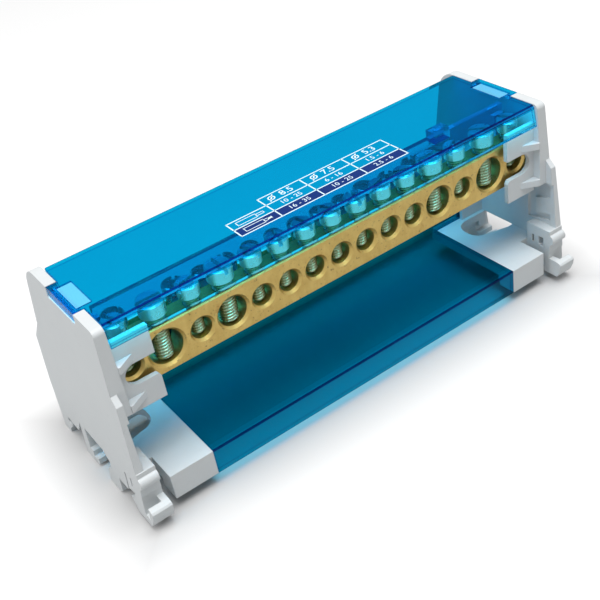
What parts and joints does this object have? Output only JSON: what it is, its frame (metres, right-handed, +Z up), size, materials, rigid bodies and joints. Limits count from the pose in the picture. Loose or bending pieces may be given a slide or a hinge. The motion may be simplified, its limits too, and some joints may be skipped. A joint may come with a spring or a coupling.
{
  "type": "power distribution block",
  "caption": "Power distribution block: stepped brass bars with clamp screws between two grey end brackets that clip on a rail, under a clear blue cover.",
  "frame": {"origin": "middle of the length and of the depth, at the level of the feet's undersides", "axes": "+X along the bars to the right-hand bracket, -Y the front that shows the wire holes, +Z up to the cover"},
  "size_m": [0.1326, 0.051, 0.0509],
  "materials": {
    "grey_plastic": "fine matt moulding",
    "blue_tray_plastic": "clear, tinted deep blue, glossy",
    "blue_cover_plastic": "clear, tinted bright blue, glossy",
    "brass": "drawn bar, dull, with bright machined edges",
    "zinc_screw": "zinc plated"
  },
  "bodies": {
    "housing": {"left_end_bracket": "grey_plastic", "right_end_bracket": "grey_plastic", "insulating_partition": "blue_tray_plastic", "front_bar": "brass", "rear_bar": "brass"},
    "cover": {"top_cover": "blue_cover_plastic"},
    "front_screw_1": {"front_screw_1": "zinc_screw"},
    "front_screw_2": {"front_screw_2": "zinc_screw"},
    "front_screw_3": {"front_screw_3": "zinc_screw"},
    "front_screw_4": {"front_screw_4": "zinc_screw"},
    "front_screw_5": {"front_screw_5": "zinc_screw"},
    "front_screw_6": {"front_screw_6": "zinc_screw"},
    "front_screw_7": {"front_screw_7": "zinc_screw"},
    "front_screw_8": {"front_screw_8": "zinc_screw"},
    "front_screw_9": {"front_screw_9": "zinc_screw"},
    "front_screw_10": {"front_screw_10": "zinc_screw"},
    "front_screw_11": {"front_screw_11": "zinc_screw"},
    "front_screw_12": {"front_screw_12": "zinc_screw"},
    "front_screw_13": {"front_screw_13": "zinc_screw"},
    "front_screw_14": {"front_screw_14": "zinc_screw"},
    "front_screw_15": {"front_screw_15": "zinc_screw"},
    "rear_screw_1": {"rear_screw_1": "zinc_screw"},
    "rear_screw_2": {"rear_screw_2": "zinc_screw"},
    "rear_screw_3": {"rear_screw_3": "zinc_screw"},
    "rear_screw_4": {"rear_screw_4": "zinc_screw"},
    "rear_screw_5": {"rear_screw_5": "zinc_screw"},
    "rear_screw_6": {"rear_screw_6": "zinc_screw"},
    "rear_screw_7": {"rear_screw_7": "zinc_screw"},
    "rear_screw_8": {"rear_screw_8": "zinc_screw"},
    "rear_screw_9": {"rear_screw_9": "zinc_screw"},
    "rear_screw_10": {"rear_screw_10": "zinc_screw"},
    "rear_screw_11": {"rear_screw_11": "zinc_screw"},
    "rear_screw_12": {"rear_screw_12": "zinc_screw"},
    "rear_screw_13": {"rear_screw_13": "zinc_screw"},
    "rear_screw_14": {"rear_screw_14": "zinc_screw"},
    "rear_screw_15": {"rear_screw_15": "zinc_screw"}
  },
  "joints": [
    {"name": "cover_lift", "type": "slide", "parent": "housing", "child": "cover", "axis": [0, 0, 1], "range_m": [0, 0.06]},
    {"name": "front_screw_1_travel", "type": "slide", "parent": "housing", "child": "front_screw_1", "axis": [0, 0, 1], "range_m": [0, 0.0018]},
    {"name": "front_screw_2_travel", "type": "slide", "parent": "housing", "child": "front_screw_2", "axis": [0, 0, 1], "range_m": [0, 0.0018]},
    {"name": "front_screw_3_travel", "type": "slide", "parent": "housing", "child": "front_screw_3", "axis": [0, 0, 1], "range_m": [0, 0.0018]},
    {"name": "front_screw_4_travel", "type": "slide", "parent": "housing", "child": "front_screw_4", "axis": [0, 0, 1], "range_m": [0, 0.0018]},
    {"name": "front_screw_5_travel", "type": "slide", "parent": "housing", "child": "front_screw_5", "axis": [0, 0, 1], "range_m": [0, 0.0018]},
    {"name": "front_screw_6_travel", "type": "slide", "parent": "housing", "child": "front_screw_6", "axis": [0, 0, 1], "range_m": [0, 0.0018]},
    {"name": "front_screw_7_travel", "type": "slide", "parent": "housing", "child": "front_screw_7", "axis": [0, 0, 1], "range_m": [0, 0.0018]},
    {"name": "front_screw_8_travel", "type": "slide", "parent": "housing", "child": "front_screw_8", "axis": [0, 0, 1], "range_m": [0, 0.0018]},
    {"name": "front_screw_9_travel", "type": "slide", "parent": "housing", "child": "front_screw_9", "axis": [0, 0, 1], "range_m": [0, 0.0018]},
    {"name": "front_screw_10_travel", "type": "slide", "parent": "housing", "child": "front_screw_10", "axis": [0, 0, 1], "range_m": [0, 0.0018]},
    {"name": "front_screw_11_travel", "type": "slide", "parent": "housing", "child": "front_screw_11", "axis": [0, 0, 1], "range_m": [0, 0.0018]},
    {"name": "front_screw_12_travel", "type": "slide", "parent": "housing", "child": "front_screw_12", "axis": [0, 0, 1], "range_m": [0, 0.0018]},
    {"name": "front_screw_13_travel", "type": "slide", "parent": "housing", "child": "front_screw_13", "axis": [0, 0, 1], "range_m": [0, 0.0018]},
    {"name": "front_screw_14_travel", "type": "slide", "parent": "housing", "child": "front_screw_14", "axis": [0, 0, 1], "range_m": [0, 0.0018]},
    {"name": "front_screw_15_travel", "type": "slide", "parent": "housing", "child": "front_screw_15", "axis": [0, 0, 1], "range_m": [0, 0.0018]},
    {"name": "rear_screw_1_travel", "type": "slide", "parent": "housing", "child": "rear_screw_1", "axis": [0, 0, 1], "range_m": [0, 0.005]},
    {"name": "rear_screw_2_travel", "type": "slide", "parent": "housing", "child": "rear_screw_2", "axis": [0, 0, 1], "range_m": [0, 0.007]},
    {"name": "rear_screw_3_travel", "type": "slide", "parent": "housing", "child": "rear_screw_3", "axis": [0, 0, 1], "range_m": [0, 0.005]},
    {"name": "rear_screw_4_travel", "type": "slide", "parent": "housing", "child": "rear_screw_4", "axis": [0, 0, 1], "range_m": [0, 0.007]},
    {"name": "rear_screw_5_travel", "type": "slide", "parent": "housing", "child": "rear_screw_5", "axis": [0, 0, 1], "range_m": [0, 0.005]},
    {"name": "rear_screw_6_travel", "type": "slide", "parent": "housing", "child": "rear_screw_6", "axis": [0, 0, 1], "range_m": [0, 0.005]},
    {"name": "rear_screw_7_travel", "type": "slide", "parent": "housing", "child": "rear_screw_7", "axis": [0, 0, 1], "range_m": [0, 0.005]},
    {"name": "rear_screw_8_travel", "type": "slide", "parent": "housing", "child": "rear_screw_8", "axis": [0, 0, 1], "range_m": [0, 0.005]},
    {"name": "rear_screw_9_travel", "type": "slide", "parent": "housing", "child": "rear_screw_9", "axis": [0, 0, 1], "range_m": [0, 0.005]},
    {"name": "rear_screw_10_travel", "type": "slide", "parent": "housing", "child": "rear_screw_10", "axis": [0, 0, 1], "range_m": [0, 0.005]},
    {"name": "rear_screw_11_travel", "type": "slide", "parent": "housing", "child": "rear_screw_11", "axis": [0, 0, 1], "range_m": [0, 0.005]},
    {"name": "rear_screw_12_travel", "type": "slide", "parent": "housing", "child": "rear_screw_12", "axis": [0, 0, 1], "range_m": [0, 0.007]},
    {"name": "rear_screw_13_travel", "type": "slide", "parent": "housing", "child": "rear_screw_13", "axis": [0, 0, 1], "range_m": [0, 0.005]},
    {"name": "rear_screw_14_travel", "type": "slide", "parent": "housing", "child": "rear_screw_14", "axis": [0, 0, 1], "range_m": [0, 0.007]},
    {"name": "rear_screw_15_travel", "type": "slide", "parent": "housing", "child": "rear_screw_15", "axis": [0, 0, 1], "range_m": [0, 0.005]}
  ]
}
